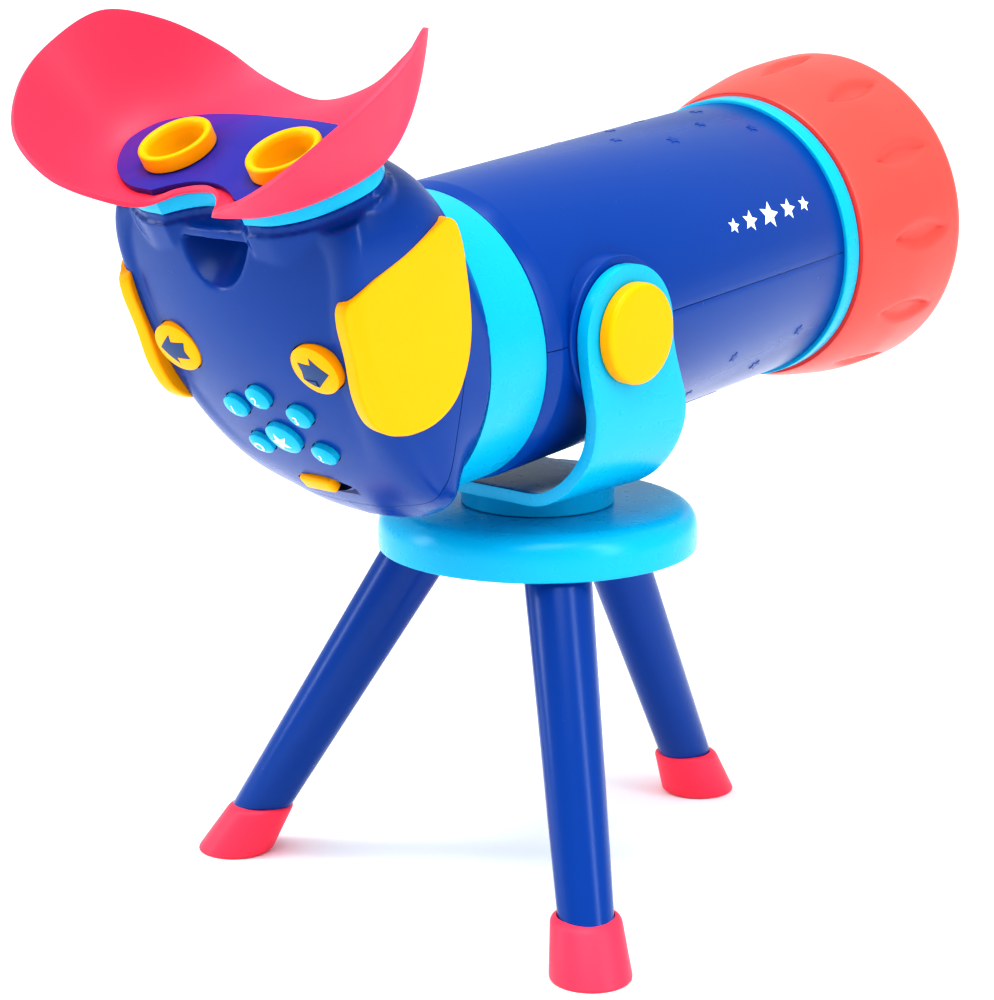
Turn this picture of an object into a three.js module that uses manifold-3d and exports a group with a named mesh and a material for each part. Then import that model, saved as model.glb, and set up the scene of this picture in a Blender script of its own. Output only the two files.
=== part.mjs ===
// Child's talking telescope on a short three-legged stand.
// Millimetres, +Z up. The eyepieces are at -Y and the front opening looks along +Y.
// Sizes are given from the stand's swivel axis and the floor; the last lines move the
// finished group so that the middle of its box is at X = Y = 0.
import * as THREE from 'three';
import { ParametricGeometry } from 'three/addons/geometries/ParametricGeometry.js';
import { mergeVertices } from 'three/addons/utils/BufferGeometryUtils.js';
import Module from 'manifold-3d';

// ---- stand
const discRadius = 65;
const discBottom = 138.3;
const discTop = 156.4;
const discWall = 2.2;
const discEdge = 9;
const coverThickness = 3;
const legPitchRadius = 46.9;
const legTopRadius = 13.45;
const legFootRadius = 10.35;
const legWall = 2.2;
const legSocketDepth = 5;
const legs = [
  { name: 'left', angle: -57.8, reach: 129.8 },
  { name: 'right', angle: 50, reach: 123.7 },
  { name: 'rear', angle: 183.7, reach: 121.9 },
];
const footHeight = 21;
const footBottomRadius = 16;
const footTopRadius = 13.6;
const gap = 0.3;

// ---- swivel and yoke
const bossRadius = 31.2;
const yokeBase = 165.9;
const yokeThickness = 5;
const yokeInside = 61;
const yokeFront = 15;
const yokeBack = -40;
const armRadius = 26;
const pivotY = -23;
const screwRadius = 3;
const pinRadius = 4;
const pinInner = 52;
const lugRadius = 8;
const capRadius = 19.5;
const capThickness = 5.6;

// ---- barrel
const barrelTilt = 5.13 * Math.PI / 180;
const barrelHeight = 238.14;
const barrelRadius = 59;
const barrelWall = 2.6;
const barrelRear = -62.4;
const barrelFront = 129.2;
const ringFront = 138.4;
const frontRingRadius = 60.6;
const bellFront = 204.3;
const bellRearRadius = 62.5;
const bellRadius = 70;
const padRadius = 29;

// ---- head
const ringRadius = 57.6;
const headRadius = 58.6;
const rearCentre = 232;
const headBottom = 168;
const rimDepth = 15;
const headRear = -94;
const shoulderPower = 2.2;
const flatTop = 0.82;
const flatBottom = 0.62;
const wall = 2.8;
const seamAhead = 16;
const sidePanelStart = 49;

// ---- eyepiece
const plateTilt = 29 * Math.PI / 180;
const plateOrigin = new THREE.Vector3(0, -176.7, 303.1);
const eyeHalfSpacing = 27.5;
const eyeAlong = 13.1;
const cupRadius = 14.1;
const cupHeight = 6.4;
const plateThickness = 2.2;
const visorThickness = 1.7;
const visorRows = 10;
const gasketHeight = 6.2;
const neckHeight = 4.4;

// ---- controls
const keyDepth = 4.4;
const keyProud = 2.6;

const colours = {
  blue: [0x1c2f9c, 0.42, 0],
  navy: [0x20308c, 0.5, 0],
  cyan: [0x19c3e0, 0.4, 0],
  red: [0xff4455, 0.5, 0],
  yellow: [0xffd200, 0.4, 0],
  steel: [0x9a9da2, 0.3, 1],
  lens: [0xcfe6ee, 0.05, 0],
  board: [0x1f6b3a, 0.6, 0],
  black: [0x1a1a1d, 0.5, 0],
  film: [0x6a6f8a, 0.3, 0],
  battery: [0x8a8d90, 0.35, 0.6],
};

const wasm = await Module();
wasm.setup();

const parts = new THREE.Group();

// ---- helpers

function toSolid(geometry) {
  const plain = geometry.clone();
  plain.deleteAttribute('normal');
  plain.deleteAttribute('uv');
  const merged = mergeVertices(plain, 1e-4);
  const index = merged.index.array;
  const triangles = [];
  for (let i = 0; i < index.length; i += 3) {
    const [a, b, c] = [index[i], index[i + 1], index[i + 2]];
    if (a !== b && b !== c && c !== a) triangles.push(a, b, c);
  }
  return new wasm.Manifold(new wasm.Mesh({
    numProp: 3,
    vertProperties: new Float32Array(merged.attributes.position.array),
    triVerts: new Uint32Array(triangles),
  }));
}

function toGeometry(solid) {
  const mesh = solid.getMesh();
  const geometry = new THREE.BufferGeometry();
  geometry.setAttribute('position', new THREE.BufferAttribute(new Float32Array(mesh.vertProperties), 3));
  geometry.setIndex(new THREE.BufferAttribute(new Uint32Array(mesh.triVerts), 1));
  geometry.computeVertexNormals();
  return geometry;
}

function addPart(name, shape, colour) {
  const geometry = shape instanceof THREE.BufferGeometry ? shape : toGeometry(shape);
  const [color, roughness, metalness] = colours[colour];
  const mesh = new THREE.Mesh(geometry, new THREE.MeshStandardMaterial({ color, roughness, metalness }));
  mesh.name = name;
  parts.add(mesh);
}

function lathe(profile, segments) {
  return new THREE.LatheGeometry(profile.map(([r, y]) => new THREE.Vector2(r, y)), segments);
}

function upright(geometry) {
  return geometry.rotateX(Math.PI / 2);
}

function alongX(geometry) {
  return geometry.rotateZ(-Math.PI / 2);
}

const barrelMatrix = new THREE.Matrix4().makeRotationX(barrelTilt).setPosition(0, 0, barrelHeight);

function onBarrel(geometry) {
  return geometry.applyMatrix4(barrelMatrix);
}

function disc(radius, from, to, segments) {
  return lathe([[0, from], [radius, from], [radius, to], [0, to]], segments);
}

function tube(inner, outer, from, to, segments) {
  return lathe([[inner, from], [outer, from], [outer, to], [inner, to], [inner, from]], segments);
}

function box(min, max) {
  const size = new THREE.Vector3().subVectors(max, min);
  const middle = new THREE.Vector3().addVectors(min, max).multiplyScalar(0.5);
  return new THREE.BoxGeometry(size.x, size.y, size.z).translate(middle.x, middle.y, middle.z);
}

const vec = (x, y, z) => new THREE.Vector3(x, y, z);

// ---- stand

function legFrame({ angle, reach }, grow) {
  const turn = angle * Math.PI / 180;
  const way = vec(Math.sin(turn), -Math.cos(turn), 0);
  const foot = way.clone().multiplyScalar(reach);
  const top = way.clone().multiplyScalar(legPitchRadius).setZ(discBottom);
  const axis = top.clone().sub(foot);
  const length = axis.length();
  axis.normalize();
  const slope = (legTopRadius - legFootRadius) / length;
  const start = 7 / axis.z - grow;
  const end = length + legSocketDepth + grow;
  const radius = (t) => legFootRadius + slope * t;
  const turned = new THREE.Quaternion().setFromUnitVectors(vec(0, 1, 0), axis);
  return { way, foot, axis, start, end, radius, turned, shear: (reach - legPitchRadius) / discBottom };
}

function legCone(leg, grow, inner) {
  const { foot, start, end, radius, turned } = legFrame(leg, grow);
  const outline = inner
    ? [[radius(start) - legWall, start], [radius(start), start], [radius(end), end],
      [radius(end) - legWall, end], [radius(start) - legWall, start]]
    : [[0, start], [radius(start) + grow, start], [radius(end) + grow, end], [0, end]];
  return lathe(outline, 20).applyQuaternion(turned).translate(foot.x, foot.y, foot.z);
}

function footCone(leg) {
  const { way, foot, shear } = legFrame(leg, 0);
  const lip = 1.6;
  const cone = upright(lathe([
    [0, 0], [footBottomRadius - lip, 0], [footBottomRadius, lip],
    [footTopRadius, footHeight - lip], [footTopRadius - lip, footHeight], [0, footHeight],
  ], 24));
  const slant = new THREE.Matrix4().set(
    1, 0, -way.x * shear, foot.x, 0, 1, -way.y * shear, foot.y, 0, 0, 1, 0, 0, 0, 0, 1);
  return cone.applyMatrix4(slant);
}

function makeStand() {
  const rim = [];
  for (let i = 0; i <= 5; i += 1) {
    const t = i / 5 * Math.PI / 2;
    rim.push([discRadius - discEdge + discEdge * Math.cos(t), discTop - discEdge + discEdge * Math.sin(t)]);
  }
  const under = discTop - 6.4;
  addPart('hub_disc', upright(lathe([
    [screwRadius + 0.4, under], [discRadius - discWall - 5, under], [discRadius - discWall, under - 5],
    [discRadius - discWall, discBottom], [discRadius, discBottom], ...rim, [screwRadius + 0.4, discTop],
    [screwRadius + 0.4, under],
  ], 32)), 'cyan');

  const plateTop = discBottom + 0.6 + coverThickness;
  const outside = discRadius - discWall - gap;
  let cover = toSolid(upright(tube(15, outside, discBottom + 0.6, plateTop, 36)));
  legs.forEach((leg) => {
    const { start, end, radius, turned, foot, axis } = legFrame(leg, 0);
    const from = end - legSocketDepth - 1;
    const collar = disc(radius(end) + 2.4, from, end - 2.2, 24).applyQuaternion(turned);
    const ceiling = box(vec(-80, -80, discBottom + 0.6), vec(80, 80, under - gap));
    const socket = toSolid(collar.translate(foot.x, foot.y, foot.z)).intersect(toSolid(ceiling));
    cover = cover.add(socket.intersect(toSolid(upright(disc(outside - 5.5, 100, 180, 36)))));
  });
  legs.forEach((leg) => {
    cover = cover.subtract(toSolid(legCone(leg, gap, false)));
  });
  addPart('hub_cover', cover, 'cyan');

  const stop = toSolid(box(vec(-200, -200, -1), vec(200, 200, under - 2 * gap)));
  legs.forEach((leg) => {
    addPart(`leg_${leg.name}`, toSolid(legCone(leg, 0, true)).intersect(stop), 'blue');
    addPart(`foot_${leg.name}`, toSolid(footCone(leg)).subtract(toSolid(legCone(leg, gap, false))), 'red');
  });
}

// ---- yoke

function yokeBand() {
  const inside = [[32, 4.6], [40, 8.8], [48, 15.7], [54.6, 25.3], [60.5, 38.6], [yokeInside, 46]];
  const outerFace = yokeInside + yokeThickness;
  const outside = [[33, 0], [43.5, 4], [53, 11.5], [60.5, 22.5], [65.4, 37.5], [outerFace, 46]];
  const shape = new THREE.Shape();
  shape.moveTo(0, 0);
  outside.forEach(([x, z]) => shape.lineTo(x, z));
  shape.lineTo(outerFace, 100);
  shape.lineTo(yokeInside, 100);
  [...inside].reverse().forEach(([x, z]) => shape.lineTo(x, z));
  shape.lineTo(0, 4.6);
  const half = new THREE.ExtrudeGeometry(shape, { depth: 90, bevelEnabled: false });
  half.rotateX(Math.PI / 2).translate(0, 40, yokeBase);
  const right = toSolid(half);
  const mirrored = right.mirror([1, 0, 0]);
  return right.add(mirrored);
}

function yokeSide() {
  const pivotZ = barrelHeight + pivotY * Math.tan(barrelTilt);
  const side = new THREE.Shape();
  side.moveTo(yokeBack, 160);
  side.lineTo(yokeFront, 160);
  side.lineTo(yokeFront, 197);
  side.quadraticCurveTo(yokeFront - 2, 214, pivotY + armRadius + 2, 226);
  side.lineTo(pivotY + armRadius, pivotZ);
  side.absarc(pivotY, pivotZ, armRadius, 0, Math.PI, false);
  side.lineTo(yokeBack - 3.5, 212);
  side.lineTo(yokeBack, 190);
  const slab = new THREE.ExtrudeGeometry(side, { depth: 140, bevelEnabled: false, curveSegments: 8 });
  slab.applyMatrix4(new THREE.Matrix4().set(0, 0, 1, -70, 1, 0, 0, 0, 0, 1, 0, 0, 0, 0, 0, 1));
  return toSolid(slab);
}

function makeYoke() {
  const pivotZ = barrelHeight + pivotY * Math.tan(barrelTilt);
  const boss = toSolid(upright(disc(bossRadius, discTop + gap, yokeBase + 2, 48)));
  const hole = toSolid(upright(disc(screwRadius + gap, discTop, yokeBase - 2.5, 16)));
  const arms = toSolid(alongX(disc(pinRadius + 0.4, -80, 80, 20)).translate(0, pivotY, pivotZ));
  addPart('yoke', yokeBand().intersect(yokeSide()).add(boss).subtract(hole).subtract(arms), 'cyan');

  const under = discTop - 6.4;
  addPart('swivel_washer', upright(tube(screwRadius + gap, 11, under - 1.6, under - gap, 16)), 'steel');
  addPart('swivel_screw', upright(lathe([
    [0, under - 4.6], [6, under - 4.6], [6, under - 1.9], [screwRadius, under - 1.9],
    [screwRadius, yokeBase - 3], [0, yokeBase - 3],
  ], 12)), 'steel');

  [['right', 1], ['left', -1]].forEach(([side, way]) => {
    const from = yokeInside + yokeThickness + gap;
    const cap = alongX(lathe([
      [0, from + 1.4], [capRadius - 1.6, from + 1.4], [capRadius - 1.6, from], [capRadius, from],
      [capRadius, from + capThickness - 2], [capRadius - 2, from + capThickness], [0, from + capThickness],
    ], 24));
    const pin = alongX(lathe([
      [0, pinInner], [pinRadius, pinInner], [pinRadius, from + 1.1], [0, from + 1.1],
    ], 12));
    [cap, pin].forEach((shape) => {
      if (way < 0) shape.rotateY(Math.PI);
      shape.translate(0, pivotY, pivotZ);
    });
    addPart(`pivot_cap_${side}`, cap, 'yellow');
    addPart(`pivot_pin_${side}`, pin, 'steel');
  });
}

// ---- barrel

function makeBarrel() {
  const inner = barrelRadius - barrelWall;
  const shoulder = [[ringRadius - 0.2, barrelRear], [barrelRadius, barrelRear + 7]];
  let whole = toSolid(onBarrel(lathe([
    [inner - 1.2, barrelRear], ...shoulder, [barrelRadius, barrelFront], [inner, barrelFront],
    [inner, barrelRear + 7], [inner - 1.2, barrelRear],
  ], 40)));
  const pivotZ = barrelHeight + pivotY * Math.tan(barrelTilt);
  const bore = toSolid(onBarrel(disc(inner, barrelRear - 10, barrelFront + 10, 40)));
  const across = (radius, reach, segments) => (
    toSolid(alongX(disc(radius, -reach, reach, segments)).translate(0, pivotY, pivotZ)));
  const pad = across(padRadius, yokeInside - 0.5, 28);
  const lugs = across(lugRadius, yokeInside - 0.5, 20);
  const core = toSolid(box(vec(-50, pivotY - 40, pivotZ - 40), vec(50, pivotY + 40, pivotZ + 40)));
  const bores = across(pinRadius + gap, 80, 20);
  whole = whole.add(pad.subtract(bore)).add(lugs.subtract(core)).subtract(bores);
  const upperHalf = toSolid(onBarrel(box(vec(-90, -120, gap / 2), vec(90, 200, 90))));
  const lowerHalf = toSolid(onBarrel(box(vec(-90, -120, -90), vec(90, 200, -gap / 2))));
  addPart('tube_upper', whole.intersect(upperHalf), 'blue');
  const doorHole = toSolid(onBarrel(box(vec(-24.3, 20 - gap, -80), vec(24.3, 84 + gap, -40))));
  addPart('tube_lower', whole.intersect(lowerHalf).subtract(doorHole), 'blue');

  const doorBlock = toSolid(onBarrel(box(vec(-24, 20, -80), vec(24, 84, -40))));
  const skin = toSolid(onBarrel(tube(inner, barrelRadius - 0.1, 10, 94, 40)));
  const screwHole = toSolid(onBarrel(disc(1.9, -80, -40, 12).rotateX(Math.PI / 2).translate(0, 78, 0)));
  addPart('battery_door', skin.intersect(doorBlock).subtract(screwHole), 'blue');
  addPart('battery_door_screw', onBarrel(lathe([
    [0, 50], [1.5, 50], [1.5, barrelRadius - 0.4], [0, barrelRadius - 0.4],
  ], 12).rotateX(-Math.PI / 2).translate(0, 78, 0)), 'steel');

  addPart('front_ring', onBarrel(lathe([
    [inner, barrelFront + gap], [frontRingRadius - 0.4, barrelFront + gap],
    [frontRingRadius, barrelFront + 1.2], [frontRingRadius, ringFront - 1.2],
    [frontRingRadius - 0.4, ringFront - gap], [inner, ringFront - gap], [inner, barrelFront + gap],
  ], 36)), 'cyan');
}

function makeBell() {
  const start = ringFront + gap;
  const flare = [
    [0, bellRearRadius - 1], [1, bellRearRadius], [10, 65], [22, 67.3], [35, 69.3], [50, bellRadius],
  ];
  const outside = flare.map(([s, r]) => [r, start + s]);
  addPart('focus_bell', onBarrel(lathe([
    [57, start], ...outside, [bellRadius - 0.6, bellFront - 6], [bellRadius - 2.2, bellFront - 2],
    [bellRadius - 4.5, bellFront], [bellRadius - 7, bellFront - 1], [60, bellFront - 26],
    [51, bellFront - 28], [51, bellFront - 31], [60, bellFront - 33], [59, start + 12], [57, start],
  ], 32)), 'red');
  addPart('front_window', onBarrel(disc(54, bellFront - 36, bellFront - 33.4, 32)), 'lens');
}

// ---- head

// Half of the head's outline seen from the eyepiece side, as (x, z) from the top to the bottom.
const frontHalf = new THREE.SplineCurve([
  [0, 303], [24, 303], [47, 301], [59, 294], [62.5, 281], [60, 262], [56.5, 238], [54, 216],
  [52, 200], [49, 189], [44, 181], [34, 174.5], [20, 169.8], [0, headBottom],
].map(([x, z]) => new THREE.Vector2(x, z)));

// Where the control panel is, along Y, at a height z, and how much it crowns at an x.
const panelAt = (z) => -122.6 - 1.034 * (z - 184.8) + 0.00491 * (z - 184.8) ** 2;
const panelCrown = (x) => 0.0026 * x * x;
const headMiddle = 236;

// A point of the head: around goes round it from the top, along goes from the rear face (0 to
// 0.15) over the sides (to 0.6) to the middle of the control panel (1).
function headPoint(around, along, inset) {
  const half = around < 0.5 ? around * 2 : (1 - around) * 2;
  const side = around < 0.5 ? 1 : -1;
  const outline = frontHalf.getPointAt(half);
  const shrink = 1 - inset / 60;
  const frontX = side * outline.x * shrink;
  const frontZ = headMiddle + (outline.y - headMiddle) * shrink;
  const angle = around * 2 * Math.PI;
  const radius = headRadius - inset;
  if (along < 0.15) {
    const size = along / 0.15;
    const z = rearCentre + radius * size * Math.cos(angle);
    return vec(radius * size * Math.sin(angle), headRear - inset, z);
  }
  const rearZ = rearCentre + radius * Math.cos(angle);
  const rearPoint = vec(radius * Math.sin(angle), headRear - inset, rearZ);
  const rimY = Math.min(panelAt(frontZ) + rimDepth, headRear - 1.5 - inset);
  const frontPoint = vec(frontX, rimY, frontZ);
  if (along < 0.6) {
    const part = (along - 0.15) / 0.45;
    const point = rearPoint.clone().lerp(frontPoint, 1 - (1 - part) ** shoulderPower);
    point.y = rearPoint.y + (frontPoint.y - rearPoint.y) * part;
    const swell = Math.sin(Math.PI * part);
    point.z += 14 * swell * Math.max(0, Math.cos(angle)) ** 2;
    point.x *= 1 + 0.05 * swell;
    return point;
  }
  const size = 1 - ((along - 0.6) / 0.4) ** 1.6;
  const z = headMiddle + (frontZ - headMiddle) * size;
  const flat = flatTop + (flatBottom - flatTop) * half * half;
  const turn = Math.max(0, (size - flat) / (1 - flat));
  const back = (rimY - panelAt(frontZ)) * (1 - Math.sqrt(1 - turn * turn));
  const point = vec(frontX * size, 0, z);
  point.y = panelAt(z) + panelCrown(point.x) * (1 - turn) + back + inset * (1 - turn * 0.4);
  return point;
}

function headLoft(inset) {
  return toSolid(new ParametricGeometry((u, v, target) => {
    target.copy(headPoint(u > 1 - 1e-6 ? 0 : 1 - u, v, inset));
  }, 30, 15));
}

// ---- eyepiece outline, in the plate's own plane

const lobe = [
  [21, -10.5], [34, -9], [48, -1.5], [57.5, 10.5], [60, 19.5], [54.5, 30], [39, 36.7], [20, 39.3],
];

function plateCurve(count) {
  const ends = lobe.map(([x, q]) => vec(x, q, 0));
  const mirror = lobe.map(([x, q]) => vec(-x, q, 0)).reverse();
  const bean = new THREE.CatmullRomCurve3([...ends, vec(0, 39.7, 0), ...mirror]).getPoints(count - 10);
  const notch = new THREE.QuadraticBezierCurve3(vec(-21, -10.5, 0), vec(0, 6, 0), vec(21, -10.5, 0));
  return [...bean, ...notch.getPoints(10).slice(1, -1)];
}

function plateOutline(offset, count) {
  const points = plateCurve(count);
  return points.map((point, i) => {
    const before = points[(i + points.length - 1) % points.length];
    const after = points[(i + 1) % points.length];
    const way = after.clone().sub(before).normalize();
    return new THREE.Vector2(point.x + way.y * offset, point.y - way.x * offset);
  });
}

const plateMatrix = new THREE.Matrix4().makeRotationX(plateTilt).setPosition(plateOrigin);

function plateSlab(offset, from, to, count) {
  const shape = new THREE.Shape(plateOutline(offset, count));
  const slab = new THREE.ExtrudeGeometry(shape, { depth: to - from, bevelEnabled: false });
  return slab.translate(0, 0, from).applyMatrix4(plateMatrix);
}

function atEye(geometry, side) {
  return upright(geometry).translate(side * eyeHalfSpacing, eyeAlong, 0).applyMatrix4(plateMatrix);
}

function eyeHoles(radius, from, to) {
  return toSolid(atEye(disc(radius, from, to, 24), 1)).add(toSolid(atEye(disc(radius, from, to, 24), -1)));
}

const visorBottom = -plateThickness - gap - visorThickness;
const gasketBottom = visorBottom - gap - gasketHeight;
const neckBottom = gasketBottom - gap - neckHeight;

function makeHead() {
  const neck = toSolid(plateSlab(-0.6, neckBottom - 18, gasketBottom - gap, 44));
  const hollowNeck = toSolid(plateSlab(-5, neckBottom - 60, gasketBottom + 5, 30));
  const roof = toSolid(onPlateSide(neckBottom));
  const outer = headLoft(0).intersect(roof).add(neck);
  const hollow = headLoft(wall).intersect(toSolid(onPlateSide(neckBottom - wall))).add(hollowNeck);
  const inside = hollow.subtract(noseScoop(wall));
  const opening = toSolid(onBarrel(disc(ringRadius - 6, -130, 0, 40)));
  const backDoor = opening.intersect(toSolid(seamBlock(headRear - 6, 1)));
  const shell = outer.subtract(noseScoop(0)).subtract(inside).subtract(backDoor);
  const seam = headRear - seamAhead;
  const frontCut = toSolid(seamBlock(seam - gap, -1));
  const rearCut = toSolid(seamBlock(seam, 1));
  const recess = sidePanels(4, 2, gap);
  const holes = controlHoles();
  addPart('head_front_shell', shell.intersect(frontCut).subtract(recess).subtract(holes), 'blue');
  addPart('head_rear_shell', shell.intersect(rearCut).subtract(recess), 'blue');

  const ringCut = toSolid(seamBlock(headRear + gap, 1));
  const ring = toSolid(onBarrel(tube(ringRadius - 4, ringRadius, -110, barrelRear - gap, 48)));
  addPart('rear_ring', ring.intersect(ringCut), 'cyan');
}

function noseScoop(grow) {
  const ball = new THREE.SphereGeometry(1, 16, 10).scale(17.5 + grow, 26 + grow, 34 + grow);
  return toSolid(ball.rotateX(-0.5).translate(0, -189, 286));
}

function onPlateSide(level) {
  const slab = new THREE.BoxGeometry(300, 300, 300).translate(0, 0, -150 + level).applyMatrix4(plateMatrix);
  return slab;
}

function seamBlock(y, way) {
  return new THREE.BoxGeometry(300, 300, 400).translate(0, y + way * 150, rearCentre);
}

// ---- side panels

function sideOutline(grow) {
  const points = [[-121, 289], [-115.5, 281], [-111, 264], [-109, 247], [-110.5, 233], [-115, 222],
    [-125, 214.5], [-139, 212.5], [-151, 217], [-158.5, 227], [-164, 243], [-169, 256], [-169.5, 262],
    [-164, 268.5], [-146, 279], [-130, 287]];
  const middle = new THREE.Vector2(-131, 247);
  const curve = new THREE.SplineCurve([...points, points[0]].map(([y, z]) => new THREE.Vector2(y, z)));
  return curve.getPoints(36).slice(0, -1).map((point) => {
    const out = point.clone().sub(middle);
    return point.clone().add(out.normalize().multiplyScalar(grow));
  });
}

function sidePanels(proud, depth, grow) {
  const outline = new THREE.Shape(sideOutline(grow));
  const slab = new THREE.ExtrudeGeometry(outline, { depth: 60, bevelEnabled: false });
  slab.translate(0, 0, sidePanelStart - 2 * grow);
  slab.applyMatrix4(new THREE.Matrix4().set(0, 0, 1, 0, 1, 0, 0, 0, 0, 1, 0, 0, 0, 0, 0, 1));
  const side = toSolid(slab);
  const skin = headLoft(-proud).subtract(headLoft(depth));
  return side.intersect(skin).add(side.mirror([1, 0, 0]).intersect(skin));
}

function makeSidePanels() {
  const both = sidePanels(1.4, 1.2, -0.2);
  const right = toSolid(box(vec(1, -300, 0), vec(200, 100, 400)));
  const left = toSolid(box(vec(-200, -300, 0), vec(-1, 100, 400)));
  addPart('side_panel_right', both.intersect(right), 'yellow');
  addPart('side_panel_left', both.intersect(left), 'yellow');
}

// ---- controls on the sloping panel

const controls = [
  { name: 'arrow_back', x: -35.3, z: 238, wide: 11, high: 10, colour: 'yellow' },
  { name: 'arrow_next', x: 35.3, z: 238, wide: 11, high: 10, colour: 'yellow' },
  { name: 'key_one', x: -16.2, z: 217.1, wide: 5.6, high: 5, colour: 'cyan' },
  { name: 'key_two', x: 0, z: 222.7, wide: 5.6, high: 5, colour: 'cyan' },
  { name: 'key_three', x: 16.2, z: 217.1, wide: 5.6, high: 5, colour: 'cyan' },
  { name: 'key_round', x: -16.2, z: 201.3, wide: 5.6, high: 5, colour: 'cyan' },
  { name: 'key_query', x: 16.2, z: 201.3, wide: 5.6, high: 5, colour: 'cyan' },
  { name: 'key_star', x: 0, z: 205.9, wide: 7.8, high: 7.4, colour: 'cyan' },
];
const slider = { x: -2.5, z: 184.8, wide: 8, high: 3.6 };
const slotHalf = 12.6;

function panelSlope(z) {
  return Math.atan2(1, 1.034 - 2 * 0.00491 * (z - 184.8));
}

function onPanel(geometry, x, z) {
  const lean = Math.PI / 2 + (Math.PI / 2 - panelSlope(z));
  return geometry.rotateX(lean).translate(x, panelAt(z) + panelCrown(x), z);
}

function oval(wide, high, from, to, segments) {
  return new THREE.CylinderGeometry(1, 1, to - from, segments).rotateX(Math.PI / 2)
    .translate(0, 0, (from + to) / 2).scale(wide, high, 1);
}

function controlHoles() {
  let holes = toSolid(onPanel(box(vec(-slotHalf, -4.1, -8), vec(slotHalf, 4.1, 8)), 0, slider.z));
  controls.forEach(({ x, z, wide, high }) => {
    holes = holes.add(toSolid(onPanel(oval(wide + 0.5, high + 0.5, -9, 6, 14), x, z)));
  });
  return holes;
}

function makeControls() {
  controls.forEach(({ name, x, z, wide, high, colour }) => {
    addPart(name, onPanel(oval(wide, high, -keyDepth, keyProud, 16), x, z), colour);
  });
  const knob = box(vec(-slider.wide, -slider.high, -3), vec(slider.wide, slider.high, 1.6));
  addPart('power_slider', onPanel(knob, slider.x, slider.z), 'yellow');
}

// ---- eyepiece

const visorPairs = [
  [[0, 39.7], [0, -122, 326]],
  [[20, 39.3], [26, -122.5, 332.5]],
  [[39, 36.7], [46, -126.5, 344]],
  [[50, 33.2], [66, -138, 354]],
  [[57.5, 26.5], [81, -154, 357]],
  [[60, 18.5], [88, -173, 346]],
  [[57.5, 10.5], [85, -190, 333]],
  [[48, -1.5], [71, -205, 316]],
  [[38, -7.8], [50, -208, 303]],
  [[29, -10.2], [34, -205, 298]],
  [[21, -10.5], [19, -194, 294]],
  [[12, -4.6], [10.5, -183.5, 298.5]],
  [[0, -2.25], [0, -179.5, 300.4]],
];

function visorCurves() {
  const level = visorBottom + visorThickness / 2;
  const base = visorPairs.map(([[x, q]]) => vec(x, q, level).applyMatrix4(plateMatrix));
  const rim = visorPairs.map(([, [x, y, z]]) => vec(x, y, z));
  return [base, rim].map((points) => {
    const mirror = points.slice(1, -1).map((p) => vec(-p.x, p.y, p.z)).reverse();
    return new THREE.CatmullRomCurve3([...points, ...mirror], true, 'centripetal');
  });
}

function makeVisor() {
  const [base, rim] = visorCurves();
  const up = vec(0, -Math.sin(plateTilt), Math.cos(plateTilt));
  const middle = vec(0, eyeAlong, visorBottom).applyMatrix4(plateMatrix);
  const sheet = (u, v) => {
    const from = base.getPoint(u);
    const to = rim.getPoint(u);
    const inner = from.clone().lerp(middle, 0.1);
    if (v < 0.25) return inner.lerp(from, v / 0.25);
    const t = (v - 0.25) / 0.75;
    const reach = to.clone().sub(from);
    const rise = reach.dot(up);
    const bend = from.clone().add(reach.clone().addScaledVector(up, -rise * 0.85).multiplyScalar(0.5));
    return new THREE.QuadraticBezierCurve3(from, bend, to).getPoint(t);
  };
  const step = 0.004;
  const normal = (u, v) => {
    const a = sheet((u + 1 - step) % 1, v);
    const b = sheet((u + step) % 1, v);
    const c = sheet(u, Math.max(0, v - step));
    const d = sheet(u, Math.min(1, v + step));
    return b.sub(a).cross(d.sub(c)).normalize();
  };
  const skin = new ParametricGeometry((u, v, target) => {
    const around = u > 1 - 1e-6 ? 0 : u;
    const across = v > 1 - 1e-6 ? 0 : v;
    const outward = across < 0.5 ? 1 : -1;
    const span = 0.5 - 1 / visorRows;
    const place = Math.min(1, Math.max(0, (across < 0.5 ? across : 1 - across - 1 / visorRows) / span));
    const way = normal(around, place);
    if (way.dot(up) < 0) way.negate();
    target.copy(sheet(around, place)).addScaledVector(way, outward * visorThickness / 2);
  }, 46, visorRows);
  addPart('visor', toSolid(skin), 'red');
}

function makeEyepiece() {
  const holes = eyeHoles(cupRadius - 3 + gap, -40, 20);
  addPart('eyepiece_plate', toSolid(plateSlab(-0.5, -plateThickness, 0, 44)).subtract(holes), 'navy');
  const gasket = toSolid(plateSlab(-0.2, visorBottom - gap - gasketHeight, visorBottom - gap, 44));
  const gasketHole = toSolid(plateSlab(-5, -40, 5, 30));
  addPart('eyepiece_gasket', gasket.subtract(gasketHole), 'cyan');
  [['left', -1], ['right', 1]].forEach(([side, way]) => {
    const throat = cupRadius - 3;
    addPart(`eyecup_${side}`, atEye(lathe([
      [6.5, -12], [throat, -12], [throat, gap], [cupRadius, gap], [cupRadius, cupHeight - 1],
      [cupRadius - 1, cupHeight], [cupRadius - 2, cupHeight],
      [throat - 0.4, cupHeight - 1.4], [throat - 1.4, -3],
      [6.5, -10], [6.5, -12],
    ], 22), way), 'yellow');
    addPart(`eye_lens_${side}`, atEye(disc(8.6, -15, -12.3, 18), way), 'lens');
  });
}

// ---- inside

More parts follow.
